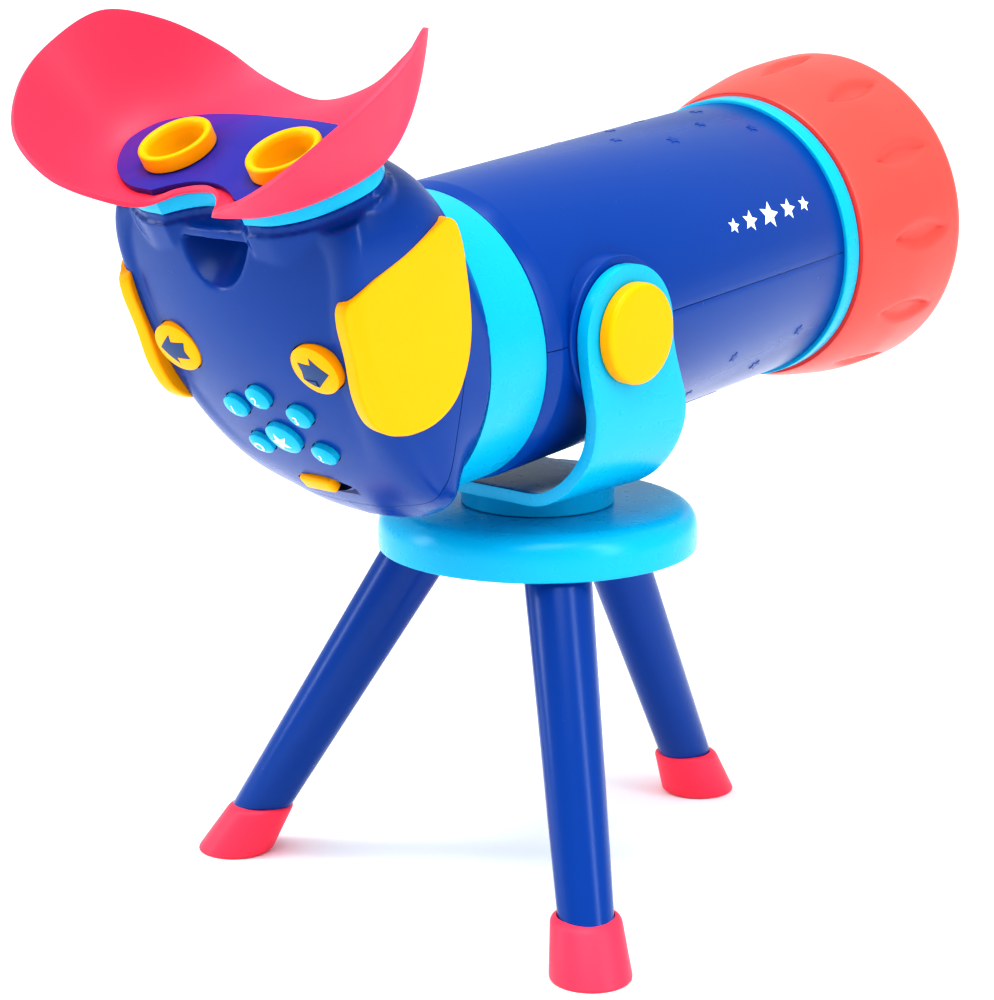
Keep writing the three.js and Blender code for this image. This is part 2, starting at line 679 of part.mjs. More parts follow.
function makeInside() {
  const board = box(vec(-29, -17, -12.2), vec(29, 17, -10.6));
  addPart('circuit_board', onPanel(board, 0, 222), 'board');
  addPart('speaker', onBarrel(lathe([
    [0, -12], [14, -12], [20, -2], [22, -2], [22, 0], [0, 0],
  ], 20).translate(0, -66, -24)), 'black');
  addPart('image_wheel', onBarrel(disc(30, -92, -90.5, 24).translate(0, 0, 12)), 'film');
  addPart('wheel_motor', onBarrel(lathe([
    [0, -90], [1.4, -90], [1.4, -84], [10, -84], [10, -62], [0, -62],
  ], 20).translate(0, 0, 12)), 'steel');
  addPart('lamp', onBarrel(lathe([
    [0, -86], [2.5, -85], [2.5, -78], [4, -78], [4, -76], [0, -76],
  ], 14).translate(0, 0, 34)), 'lens');
  const cradle = toSolid(onBarrel(box(vec(-24.5, 22, -49.5), vec(24.5, 82, -33))));
  const wells = toSolid(onBarrel(box(vec(-23, 24, -60), vec(23, 80, -36))));
  addPart('battery_cradle', cradle.subtract(wells), 'black');
  [-15, 0, 15].forEach((x, i) => {
    addPart(`battery_${i + 1}`, onBarrel(lathe([
      [0, 27], [7, 27], [7, 75], [2.6, 75], [2.6, 77], [0, 77],
    ], 12).translate(x, 0, -44)), 'battery');
  });
}

makeStand();
makeYoke();
makeBarrel();
makeBell();
makeHead();
makeSidePanels();
makeControls();
makeEyepiece();
makeVisor();
makeInside();

// ---- the origin: middle of the box in X and Y, floor at z = 0
const whole = new THREE.Box3().setFromObject(parts);
const centre = whole.getCenter(new THREE.Vector3());
const group = new THREE.Group();
parts.position.set(-centre.x, -centre.y, -whole.min.z);
group.add(parts);

export default group;
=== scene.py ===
import math
import bmesh
import bpy
from mathutils import Matrix, Vector
from mathutils.bvhtree import BVHTree


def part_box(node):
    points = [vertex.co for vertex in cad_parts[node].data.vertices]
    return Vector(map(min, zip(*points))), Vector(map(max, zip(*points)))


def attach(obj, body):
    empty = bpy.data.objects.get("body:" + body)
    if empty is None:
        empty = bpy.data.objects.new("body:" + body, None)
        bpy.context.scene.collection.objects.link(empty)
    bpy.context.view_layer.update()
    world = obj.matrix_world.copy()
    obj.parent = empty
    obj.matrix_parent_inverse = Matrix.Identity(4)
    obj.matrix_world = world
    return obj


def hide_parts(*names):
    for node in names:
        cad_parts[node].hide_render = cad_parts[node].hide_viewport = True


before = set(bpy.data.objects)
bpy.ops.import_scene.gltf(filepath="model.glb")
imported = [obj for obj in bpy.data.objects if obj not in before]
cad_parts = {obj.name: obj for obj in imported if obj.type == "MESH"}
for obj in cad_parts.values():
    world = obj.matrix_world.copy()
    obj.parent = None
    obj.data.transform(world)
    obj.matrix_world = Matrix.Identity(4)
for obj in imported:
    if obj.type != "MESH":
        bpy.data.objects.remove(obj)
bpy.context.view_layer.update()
print("frame loaded:", len(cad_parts), "nodes")

# Sizes below are millimetres from the stand's swivel axis and the floor.
hubLow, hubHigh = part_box("hub_disc")
standAxis = Vector(((hubLow.x + hubHigh.x) / 2, (hubLow.y + hubHigh.y) / 2, 0))
toFrame = Matrix.Translation(standAxis) @ Matrix.Scale(0.001, 4)
turnToY = Matrix.Rotation(math.radians(-90), 4, "X")  # a piece spun about Z ends up along Y
turnToX = Matrix.Rotation(math.radians(90), 4, "Y")

# What every finish starts from. A look changes some of it. Scales are per metre.
moulding = {
    "specular": 0.4, "sheen": 0, "sheenRough": 0.5, "metal": 0, "clear": 0,
    "mottleScale": 26, "mottleDetail": 3, "deep": 0.94,
    "polishScale": 140, "polishDetail": 4, "polishSpread": 0.03,
    "grainScale": 1500, "grainDetail": 2, "grain": 0.02, "grainHeight": 0.0002,
}

looks = {
    "blueBody": {"colour": (0.0, 0.05, 0.27), "rough": 0.26, "specular": 0.26},
    # painted shade: the darker blue painted inside the slider's slot
    "slotShadeBlue": {"colour": (0.001, 0.012, 0.09), "rough": 0.5, "specular": 0.2},
    "violetPlate": {"colour": (0.025, 0.025, 0.28), "rough": 0.34, "specular": 0.26},
    "cyanBody": {"colour": (0.0, 0.42, 0.67), "rough": 0.28, "specular": 0.3},
    "coralRubber": {"colour": (0.93, 0.045, 0.1), "rough": 0.46, "specular": 0.3, "sheen": 0.05,
                    "grain": 0.1},
    "coralPlastic": {"colour": (0.95, 0.085, 0.07), "rough": 0.34, "specular": 0.32},
    "yellowPlastic": {"colour": (0.97, 0.42, 0.0), "rough": 0.32, "specular": 0.15},
    "markNavy": {"colour": (0.008, 0.05, 0.17), "rough": 0.45},
    "markWhite": {"colour": (0.9, 0.93, 0.95), "rough": 0.45},
    "steelScrew": {"colour": (0.55, 0.56, 0.58), "rough": 0.3, "metal": 1},
    "blackPart": {"colour": (0.02, 0.02, 0.022), "rough": 0.5},
    "boardGreen": {"colour": (0.01, 0.16, 0.05), "rough": 0.4, "grainScale": 500, "grain": 0.4},
    "filmDisc": {"colour": (0.1, 0.12, 0.3), "rough": 0.25},
    "cellJacket": {"colour": (0.35, 0.37, 0.4), "rough": 0.3, "metal": 0.6},
    "clearWindow": {"colour": (0.85, 0.93, 0.96), "rough": 0.08, "clear": 1, "grain": 0},
    "studioFloor": {"colour": (0.93, 0.935, 0.945), "rough": 0.75, "specular": 0.1, "deep": 0.99,
                    "grain": 0},
}


def plastic(name, look):
    mix = {**moulding, **look}
    material = bpy.data.materials.new(name)
    material.use_nodes = True
    nodes = material.node_tree.nodes
    links = material.node_tree.links
    shader = nodes["Principled BSDF"]
    shader.inputs["Specular IOR Level"].default_value = mix["specular"]
    shader.inputs["Sheen Weight"].default_value = mix["sheen"]
    shader.inputs["Sheen Roughness"].default_value = mix["sheenRough"]
    shader.inputs["Metallic"].default_value = mix["metal"]
    shader.inputs["Transmission Weight"].default_value = mix["clear"]
    coords = nodes.new("ShaderNodeTexCoord")
    mottle = nodes.new("ShaderNodeTexNoise")  # slow drift of the colour, as in moulded plastic
    mottle.inputs["Scale"].default_value = mix["mottleScale"]
    mottle.inputs["Detail"].default_value = mix["mottleDetail"]
    links.new(coords.outputs["Object"], mottle.inputs["Vector"])
    tint = nodes.new("ShaderNodeMix")
    tint.data_type = "RGBA"
    deep = [c * mix["deep"] for c in mix["colour"]]
    tint.inputs["A"].default_value = (*deep, 1)
    tint.inputs["B"].default_value = (*mix["colour"], 1)
    links.new(mottle.outputs["Fac"], tint.inputs["Factor"])
    links.new(tint.outputs["Result"], shader.inputs["Base Color"])
    polish = nodes.new("ShaderNodeTexNoise")  # parts of the surface are rubbed a little shinier
    polish.inputs["Scale"].default_value = mix["polishScale"]
    polish.inputs["Detail"].default_value = mix["polishDetail"]
    links.new(coords.outputs["Object"], polish.inputs["Vector"])
    spread = nodes.new("ShaderNodeMapRange")
    spread.inputs["To Min"].default_value = mix["rough"] - mix["polishSpread"]
    spread.inputs["To Max"].default_value = mix["rough"] + mix["polishSpread"]
    links.new(polish.outputs["Fac"], spread.inputs["Value"])
    links.new(spread.outputs["Result"], shader.inputs["Roughness"])
    grain = nodes.new("ShaderNodeTexNoise")  # the fine spark-eroded grain of the mould
    grain.inputs["Scale"].default_value = mix["grainScale"]
    grain.inputs["Detail"].default_value = mix["grainDetail"]
    links.new(coords.outputs["Object"], grain.inputs["Vector"])
    bump = nodes.new("ShaderNodeBump")
    bump.inputs["Strength"].default_value = mix["grain"]
    bump.inputs["Distance"].default_value = mix["grainHeight"]
    links.new(grain.outputs["Fac"], bump.inputs["Height"])
    links.new(bump.outputs["Normal"], shader.inputs["Normal"])
    return material


finishes = {name: plastic(name, look) for name, look in looks.items()}
print("materials made:", len(finishes))

weldGap = 0.001  # points closer than this become one
tiny = 1e-6


def sheet(across, along, place):
    bm = bmesh.new()
    bmesh.ops.create_grid(bm, x_segments=across, y_segments=along, size=0.5)
    for vert in bm.verts:
        vert.co = place(vert.co.x + 0.5, vert.co.y + 0.5)
    bmesh.ops.remove_doubles(bm, verts=bm.verts, dist=weldGap)
    bmesh.ops.recalc_face_normals(bm, faces=bm.faces)
    return bm


def looped(share):
    return share if share < 0.9999 else 0  # a closed sheet's last column falls on its first


def turned(profile, steps=96, closed=False):
    # profile is (radius, height) or (radius, height, rounding) from one end to the other
    bm = bmesh.new()
    verts = [bm.verts.new((point[0], 0, point[1])) for point in profile]
    pairs = list(zip(verts, verts[1:]))
    if closed:
        pairs.append((verts[-1], verts[0]))
    for pair in pairs:
        bm.edges.new(pair)
    for vert, point in zip(verts, profile):
        if len(point) == 3:
            bmesh.ops.bevel(bm, geom=[vert], offset=point[2], segments=5, profile=0.5,
                            affect="VERTICES", material=-1)
    bmesh.ops.spin(bm, geom=bm.verts[:] + bm.edges[:], cent=(0, 0, 0), axis=(0, 0, 1),
                   angle=math.tau, steps=steps, use_merge=True)
    bmesh.ops.remove_doubles(bm, verts=bm.verts, dist=weldGap)
    bmesh.ops.recalc_face_normals(bm, faces=bm.faces)
    return bm


def slab(outline, low, high):
    bm = bmesh.new()
    face = bm.faces.new([bm.verts.new((point[0], point[1], low)) for point in outline])
    raised = bmesh.ops.extrude_face_region(bm, geom=[face])["geom"]
    top = [part for part in raised if isinstance(part, bmesh.types.BMVert)]
    bmesh.ops.translate(bm, verts=top, vec=(0, 0, high - low))
    bmesh.ops.recalc_face_normals(bm, faces=bm.faces)
    return bm


def moved(bm, matrix):
    bmesh.ops.transform(bm, matrix=matrix, verts=bm.verts)
    return bm


def joined(*shapes):
    whole = bmesh.new()
    for shape in shapes:
        mesh = bpy.data.meshes.new("joining")
        shape.to_mesh(mesh)
        whole.from_mesh(mesh)
        bpy.data.meshes.remove(mesh)
    return whole


def asObject(bm, name="working"):
    mesh = bpy.data.meshes.new(name)
    bm.to_mesh(mesh)
    obj = bpy.data.objects.new(name, mesh)
    bpy.context.scene.collection.objects.link(obj)
    return obj


def applied(obj):
    graph = bpy.context.evaluated_depsgraph_get()
    mesh = bpy.data.meshes.new_from_object(obj.evaluated_get(graph))
    bm = bmesh.new()
    bm.from_mesh(mesh)
    bpy.data.meshes.remove(mesh)
    bpy.data.objects.remove(obj)
    return bm


def boolean(bm, operation, *others):
    base = asObject(bm)
    cutters = [asObject(other, "cutter") for other in others]
    for cutter in cutters:
        modifier = base.modifiers.new("cut", "BOOLEAN")
        modifier.operation = operation
        modifier.solver = "EXACT"
        modifier.object = cutter
    result = applied(base)
    for cutter in cutters:
        bpy.data.objects.remove(cutter)
    return result


def modified(bm, *steps):
    obj = asObject(bm)
    for kind, settings in steps:
        modifier = obj.modifiers.new(kind, kind)
        for key, value in settings.items():
            setattr(modifier, key, value)
    return applied(obj)


def remeshed(bm, voxel, rounds):
    return modified(bm, ("REMESH", {"mode": "VOXEL", "voxel_size": voxel}),
                    ("SMOOTH", {"factor": 0.5, "iterations": rounds}))


def softened(bm, width, segments=3, angle=50):
    return modified(bm, ("BEVEL", {"width": width, "segments": segments, "limit_method": "ANGLE",
                                   "angle_limit": math.radians(angle), "use_clamp_overlap": True}))


def thick(bm, thickness, offset=-1):
    return modified(bm, ("SOLIDIFY", {"thickness": thickness, "offset": offset}))


def cutAway(bm, point, normal):
    # removes what lies on the normal's side and closes the cut
    cut = bmesh.ops.bisect_plane(bm, geom=bm.verts[:] + bm.edges[:] + bm.faces[:], dist=0.0001,
                                 plane_co=point, plane_no=normal, clear_outer=True)["geom_cut"]
    edges = [part for part in cut if isinstance(part, bmesh.types.BMEdge)]
    bmesh.ops.triangle_fill(bm, edges=edges, use_beauty=True)
    bmesh.ops.recalc_face_normals(bm, faces=bm.faces)
    return bm


def piece(name, bm, finish, body, nodes=(), place=Matrix(), sharp=32):
    bmesh.ops.transform(bm, matrix=toFrame @ place, verts=bm.verts)
    obj = asObject(bm, name)
    bm.free()
    obj.data.materials.append(finishes[finish])
    obj.data.shade_smooth()
    obj.data.set_sharp_from_angle(angle=math.radians(sharp))
    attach(obj, body)
    if nodes:
        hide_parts(*nodes)
    return obj


def ease(value):
    t = min(1, max(0, value))
    return t * t * (3 - 2 * t)


def hermite(b, c, leave, arrive, t):
    square = (3 * (c - b) - 2 * leave - arrive) * t * t
    return b + leave * t + square + (2 * (b - c) + leave + arrive) * t ** 3


def curvePoint(points, t, closed=False, even=True):
    # a Catmull-Rom curve through the points; not even means centripetal spacing
    count = len(points) - (0 if closed else 1)
    place = min(t, 1) * count
    i = min(int(place), count - 1)
    t = place - i
    size = len(points)
    if closed:
        a, b, c, d = (points[(i + k) % size] for k in (-1, 0, 1, 2))
    else:
        b, c = points[i], points[i + 1]
        a = points[i - 1] if i else (b if even else 2 * b - c)
        d = points[i + 2] if i + 2 < size else (c if even else 2 * c - b)
    if even:
        return hermite(b, c, (c - a) / 2, (d - b) / 2, t)
    ab, bc, cd = (max((q - p).length, tiny) ** 0.5 for p, q in ((a, b), (b, c), (c, d)))
    leave = ((b - a) / ab - (c - a) / (ab + bc) + (c - b) / bc) * bc
    arrive = ((c - b) / bc - (d - b) / (bc + cd) + (d - c) / cd) * bc
    return hermite(b, c, leave, arrive, t)


def byLength(points, samples=400):
    # the same curve, walked at an even pace
    dense = [curvePoint(points, i / samples) for i in range(samples + 1)]
    run = [0]
    for p, q in zip(dense, dense[1:]):
        run.append(run[-1] + (q - p).length)

    def at(t):
        goal = t * run[-1]
        low, high = 0, samples
        while high - low > 1:
            middle = (low + high) // 2
            low, high = (middle, high) if run[middle] <= goal else (low, middle)
        part = (goal - run[low]) / max(run[high] - run[low], tiny)
        return dense[low].lerp(dense[high], part)
    return at


# Each leg has its bearing in degrees and its foot's distance from the middle.
stand = {
    "discRadius": 65, "discTop": 156.4, "discBottom": 138.3, "rimRound": 9, "bottomRound": 1,
    "screwHole": 3.4, "topWall": 6.4, "sideWall": 2.2, "ledge": 7, "ledgeDrop": 4, "discSteps": 128,
    "legs": {"left": (-57.8, 129.8), "right": (50, 123.7), "rear": (183.7, 121.9)},
    "legPitch": 46.9, "legTop": 13.45, "legEnd": 10.35, "legStart": 7.2, "legRound": 0.8,
    "socket": 5, "socketGap": 3.5, "legSteps": 64,
    "footHeight": 21, "footWide": 16, "footNarrow": 13.6, "soleRound": 1.6, "topRound": 2.4,
    "footLip": 0.9, "lipRound": 0.5, "footBore": 0.5, "boreDepth": 8,
}


def makeStand():
    s = stand
    under = s["discTop"] - s["topWall"]
    inside = s["discRadius"] - s["sideWall"]
    disc = turned([
        (s["screwHole"], s["discTop"]), (s["discRadius"], s["discTop"], s["rimRound"]),
        (s["discRadius"], s["discBottom"], s["bottomRound"]), (inside, s["discBottom"]),
        (inside, under - s["ledgeDrop"]), (s["discRadius"] - s["ledge"], under), (s["screwHole"], under),
    ], s["discSteps"], closed=True)
    piece("hub_disc_shell", disc, "cyanBody", "stand", ["hub_disc"])
    for name, (angle, reach) in s["legs"].items():
        turn = math.radians(angle)
        way = Vector((math.sin(turn), -math.cos(turn), 0))
        foot = way * reach
        top = way * s["legPitch"] + Vector((0, 0, s["discBottom"]))
        axis = (top - foot).normalized()
        length = (top - foot).length
        slope = (s["legTop"] - s["legEnd"]) / length
        start = s["legStart"] / axis.z
        end = length + s["socket"]
        low, high = s["legEnd"] + slope * start, s["legEnd"] + slope * end
        stop = end - s["socketGap"]
        leg = turned([(0, start), (low, start, s["legRound"]), (high, stop, s["legRound"]), (0, stop)],
                     s["legSteps"])
        lean = Vector((0, 0, 1)).rotation_difference(axis).to_matrix().to_4x4()
        piece(f"leg_{name}_tube", leg, "blueBody", "stand", [f"leg_{name}"],
              Matrix.Translation(foot) @ lean)
        bottom = s["footHeight"] - s["boreDepth"]
        shoe = turned([
            (0, 0), (s["footWide"], 0, s["soleRound"]), (s["footNarrow"], s["footHeight"], s["topRound"]),
            (s["legEnd"] + s["footLip"], s["footHeight"], s["lipRound"]),
            (s["legEnd"] + s["footBore"], bottom), (0, bottom),
        ], s["legSteps"])
        shear = Matrix.Identity(4)
        tilt = (reach - s["legPitch"]) / s["discBottom"]
        shear[0][2], shear[1][2] = -way.x * tilt, -way.y * tilt
        piece(f"foot_{name}_boot", shoe, "coralRubber", "stand", [f"foot_{name}"],
              Matrix.Translation(foot) @ shear)


makeStand()
print("stand made")

barrel = {
    "tilt": math.radians(5.13), "height": 238.14, "radius": 59, "rear": -62.4, "front": 129.2,
    "wall": 2.6, "steps": 128, "rearRadius": 57.4, "rearRound": 0.5, "shoulder": 7, "shoulderRound": 0.6,
    "seamGap": 0.15, "seamRound": 0.25, "pivotY": -23,
    "pad": {"radius": 29, "from": 40, "to": 60.4, "round": 0.8, "steps": 96},
    "door": {"out": 59.3, "halfWide": 24, "start": 20, "long": 64, "thickness": 2.6, "round": 0.5,
             "grid": (24, 20)},
    "ring": {"radius": 60.6, "front": 138.4, "gap": 0.3, "round": 0.7},
    "rearRing": {"inner": 53.6, "outer": 57.6, "start": -112, "gap": 0.3, "round": 0.6, "cut": -93.7},
}
onBarrel = Matrix.Translation((0, 0, barrel["height"])) @ Matrix.Rotation(barrel["tilt"], 4, "X")
alongBarrel = onBarrel @ turnToY
pivot = Vector((0, barrel["pivotY"], barrel["height"] + barrel["pivotY"] * math.tan(barrel["tilt"])))


def atPivot(way):
    return Matrix.Translation(pivot) @ Matrix.Rotation(0 if way > 0 else math.pi, 4, "Z") @ turnToX


yoke = {
    "base": 165.9, "thickness": 5, "round": 0.9, "grid": (14, 120), "side": 66, "flatHalf": 20,
    "path": [(0, 0), (18, 0), (33, 0.2), (43.5, 4), (53, 11.5), (60.5, 22.5), (65.2, 37.5), (66, 50)],
    "stripShare": 0.72,  # the share of the strip below the pivot's level
    "front": 15, "frontTaper": 12, "frontFrom": 192, "back": -40, "backTaper": 9, "backFrom": 186,
    "arm": 26, "armTurn": math.radians(85),
    "boss": 31.2, "bossFoot": 156.7, "bossHole": 3.3, "bossRound": 0.6, "bossFlare": 1.5,
    "shoulder": 2, "overlap": 1, "steps": 96,
    "capRadius": 19.5, "capFrom": 66.3, "capTo": 71.9, "capDish": 0.4, "capBackRound": 0.5,
    "capRound": 1.8, "crown": 0.35, "crownIn": 7, "crownRound": 3,
}


def makeYoke():
    y = yoke
    path = [Vector((*point, 0)) for point in y["path"]] + [Vector((y["side"], pivot.z - y["base"], 0))]
    walk = byLength(path)
    share = y["stripShare"]

    def place(across, along):
        side = 1 if along > 0.5 else -1
        up = abs(along - 0.5) * 2
        if up < share:
            point = walk(up / share)
            z = y["base"] + point.y
            front = y["front"] - y["frontTaper"] * ease((z - y["frontFrom"]) / (pivot.z - y["frontFrom"]))
            back = y["back"] - y["backTaper"] * ease((z - y["backFrom"]) / (pivot.z - y["backFrom"]))
            return Vector((side * point.x, back + (front - back) * across, z))
        turn = y["armTurn"] * (up - share) / (1 - share)
        aside = y["arm"] * math.cos(turn) * (across * 2 - 1)
        return Vector((side * y["side"], pivot.y + aside, pivot.z + y["arm"] * math.sin(turn)))

    band = sheet(*y["grid"], place)
    flatPart = [face for face in band.faces if abs(face.calc_center_median().x) < y["flatHalf"]]
    if sum(face.normal.z for face in flatPart) > 0:
        bmesh.ops.reverse_faces(band, faces=band.faces)
    band = softened(thick(band, y["thickness"]), y["round"])
    boss = turned([
        (y["bossHole"], y["bossFoot"]), (y["boss"], y["bossFoot"], y["bossRound"]),
        (y["boss"], y["base"] - y["shoulder"]), (y["boss"] + y["bossFlare"], y["base"] + y["overlap"]),
        (y["bossHole"], y["base"] + y["overlap"]),
    ], y["steps"], closed=True)
    piece("yoke_fork", joined(band, boss), "cyanBody", "yoke", ["yoke"])
    for side, way in (("right", 1), ("left", -1)):
        cap = turned([
            (0, y["capFrom"] + y["capDish"]), (y["capRadius"], y["capFrom"], y["capBackRound"]),
            (y["capRadius"], y["capTo"], y["capRound"]),
            (y["capRadius"] - y["crownIn"], y["capTo"] + y["crown"], y["crownRound"]),
            (0, y["capTo"] + y["crown"]),
        ], y["steps"])
        piece(f"pivot_cap_{side}_disc", cap, "yellowPlastic", "yoke", [f"pivot_cap_{side}"],
              atPivot(way))


makeYoke()
print("yoke made")

# A star is its angle round the barrel in degrees, its place along it, and its size.
relief = {
    "waist": 0.46, "sink": 0.4, "height": 0.12, "printHeight": 0.06, "cuts": 2,
    "stars": [(-18, 36, 3), (-6, 58, 2.4), (8, 44, 2.6), (20, 66, 3), (-12, 84, 3), (14, 92, 2.4),
              (0, 108, 3), (26, 112, 2.6), (-30, 62, 2.6), (-34, 100, 3), (126, 20, 3), (138, 44, 2.6),
              (122, 62, 2.6), (134, 86, 3), (120, 106, 2.6), (-130, 30, 3), (-122, 58, 2.6), (-136, 84, 3),
              (-124, 108, 2.6)],
    "printed": [(66, 60, 3.4), (66, 71, 4.6), (66, 84, 5.8), (66, 97, 4.6), (66, 108, 3.4)],
}


def starOutline(points, outer, inner):
    circle = bmesh.new()
    verts = bmesh.ops.create_circle(circle, segments=points * 2, radius=outer)["verts"]
    for i, vert in enumerate(verts):
        if i % 2:
            vert.co *= inner / outer
    corners = [vert.co.xy.copy() for vert in verts]
    circle.free()
    return corners


def barrelStar(angle, along, size, height):
    star = slab(starOutline(5, size, size * relief["waist"]), 0, 1)
    bmesh.ops.subdivide_edges(star, edges=star.edges[:], cuts=relief["cuts"], use_grid_fill=True)
    radius = barrel["radius"]
    for vert in star.verts:
        turn = math.radians(angle) + vert.co.x / radius
        out = radius - relief["sink"] + vert.co.z * (height + relief["sink"])
        vert.co = Vector((out * math.sin(turn), along + vert.co.y, out * math.cos(turn)))
    bmesh.ops.recalc_face_normals(star, faces=star.faces)
    return star


def makeBarrel():
    b = barrel
    inner = b["radius"] - b["wall"]
    profile = [(inner, b["rear"]), (b["rearRadius"], b["rear"], b["rearRound"]),
               (b["radius"], b["rear"] + b["shoulder"], b["shoulderRound"]),
               (b["radius"], b["front"]), (inner, b["front"])]
    for half, way in (("upper", 1), ("lower", -1)):
        tube = moved(turned(profile, b["steps"], closed=True), turnToY)
        tube = softened(cutAway(tube, (0, 0, b["seamGap"] * way), (0, 0, -way)), b["seamRound"], 2)
        stars = [barrelStar(*star, relief["height"]) for star in relief["stars"]
                 if (abs(star[0]) < 90) == (half == "upper")]
        piece(f"tube_{half}_shell", joined(tube, *stars), "blueBody", "telescope", [f"tube_{half}"],
              onBarrel)
    pad = b["pad"]
    for side, way in (("right", 1), ("left", -1)):
        disc = turned([(0, pad["from"]), (pad["radius"], pad["from"]),
                       (pad["radius"], pad["to"], pad["round"]), (0, pad["to"])], pad["steps"])
        piece(f"pivot_pad_{side}", disc, "blueBody", "telescope", (), atPivot(way))

    printed = [barrelStar(*star, relief["printHeight"]) for star in relief["printed"]]
    piece("barrel_stars", joined(*printed), "markWhite", "telescope", place=onBarrel)

    d = b["door"]

    def doorPlace(across, along):
        turn = math.pi + (across - 0.5) * 2 * math.asin(d["halfWide"] / b["radius"])
        return Vector((d["out"] * math.sin(turn), d["start"] + d["long"] * along, d["out"] * math.cos(turn)))

    lid = softened(thick(sheet(*d["grid"], doorPlace), d["thickness"]), d["round"], 2)
    piece("battery_door_lid", lid, "blueBody", "telescope", ["battery_door"], onBarrel)

    r = b["ring"]
    start, end = b["front"] + r["gap"], r["front"] - r["gap"]
    front = turned([(inner, start), (r["radius"], start, r["round"]), (r["radius"], end, r["round"]),
                    (inner, end)], b["steps"], closed=True)
    piece("front_ring_band", front, "cyanBody", "telescope", ["front_ring"], alongBarrel)

    r = b["rearRing"]
    end = b["rear"] - r["gap"]
    rear = turned([(r["inner"], r["start"]), (r["outer"], r["start"]), (r["outer"], end, r["round"]),
                   (r["inner"], end)], b["steps"], closed=True)
    rear = cutAway(moved(rear, alongBarrel), (0, r["cut"], 0), (0, -1, 0))
    piece("rear_ring_band", rear, "cyanBody", "telescope", ["rear_ring"])


makeBarrel()
print("barrel made")

# The flare is (radius, distance from the start), the lip (radius, distance from the front, rounding).
bell = {
    "start": 138.7, "front": 204.3, "steps": 288, "flareSteps": 56, "bore": 59, "gap": 0.2, "boreEnd": 12,
    "flare": [(61.5, 0.2), (62.5, 1), (65, 10), (67.3, 22), (69.3, 35), (70, 50), (70, 58)],
    "lip": [(70, -5.5), (69.6, -3.2), (68.6, -1.3), (67.2, -0.25), (65.5, 0), (64, -0.5), (63, -1.6),
            (60.6, -20), (60, -26, 1), (51, -28), (51, -31), (60, -33)],
    "grips": 12, "gripMiddle": 35, "gripHalfLong": 19, "gripHalfWide": 6.6, "gripDepth": 2.6,
    "gripFrom": 62.6, "gripEnd": 56, "gripSteep": 1.5,
}


def makeBell():
    b = bell
    run = [Vector((radius, s + b["start"], 0)) for radius, s in b["flare"]]
    outer = [curvePoint(run, i / b["flareSteps"]) for i in range(b["flareSteps"] + 1)]
    profile = [(b["bore"], b["start"] + b["gap"])] + [(point.x, point.y) for point in outer]
    profile += [(radius, b["front"] + ahead, *rounding) for radius, ahead, *rounding in b["lip"]]
    profile.append((b["bore"], b["start"] + b["boreEnd"]))
    shell = turned(profile, b["steps"], closed=True)
    pitch = math.tau / b["grips"]
    for vert in shell.verts:
        radius = vert.co.xy.length
        if radius < b["gripFrom"] or vert.co.z > b["start"] + b["gripEnd"]:
            continue
        turn = math.atan2(vert.co.y, vert.co.x) / pitch
        aside = (turn - round(turn)) * pitch * radius / b["gripHalfWide"]
        ahead = (vert.co.z - b["start"] - b["gripMiddle"]) / b["gripHalfLong"]
        width = 1 - ahead * ahead
        if width <= 0 or abs(aside) >= width:
            continue
        depth = b["gripDepth"] * ease((width - abs(aside)) * b["gripSteep"])
        vert.co.xy *= (radius - depth) / radius
    piece("focus_bell_shell", shell, "coralPlastic", "bell", ["focus_bell"], alongBarrel, 40)


makeBell()
print("bell made")

# The plate, its gasket and the neck share one outline, drawn in the plate's own plane.
plate = {
    "tilt": math.radians(29), "origin": (0, -176.7, 303.1), "eyeSpacing": 27.5, "eyeAlong": 13.1,
    "lobe": [(21, -10.5), (34, -9), (48, -1.5), (57.5, 10.5), (60, 19.5), (54.5, 30), (39, 36.7), (20, 39.3)],
    "far": 39.7, "outlineSteps": 90, "notchHalf": 21, "notchEdge": -10.5, "notchRise": 12, "notchSteps": 14,
    "thickness": 2.2, "inset": -0.5, "round": 0.8, "boreRadius": 11.3, "boreHalf": 20, "boreSteps": 64,
    "gasketTop": -4.5, "gasketBottom": -10.7, "gasketInset": -0.2, "gasketRound": 0.6,
    "neckTop": -11, "neckBottom": -15.4,
}
onPlate = Matrix.Translation(plate["origin"]) @ Matrix.Rotation(plate["tilt"], 4, "X")
plateUp = onPlate.to_3x3() @ Vector((0, 0, 1))


def plateOutline(offset):
    p = plate
    right = [Vector((x, q, 0)) for x, q in p["lobe"]]
    left = [Vector((-x, q, 0)) for x, q in reversed(p["lobe"])]
    ring = right + [Vector((0, p["far"], 0))] + left
    count = p["outlineSteps"]
    points = [curvePoint(ring, i / count, even=False) for i in range(count + 1)]
    for i in range(1, p["notchSteps"]):
        t = i / p["notchSteps"]
        x = -p["notchHalf"] * (1 - t) ** 2 + p["notchHalf"] * t * t
        points.append(Vector((x, p["notchEdge"] * ((1 - t) ** 2 + t * t) + p["notchRise"] * t * (1 - t), 0)))
    outline = []
    for i, point in enumerate(points):
        way = (points[(i + 1) % len(points)] - points[i - 1]).normalized()
        outline.append((point.x + way.y * offset, point.y - way.x * offset))
    return outline


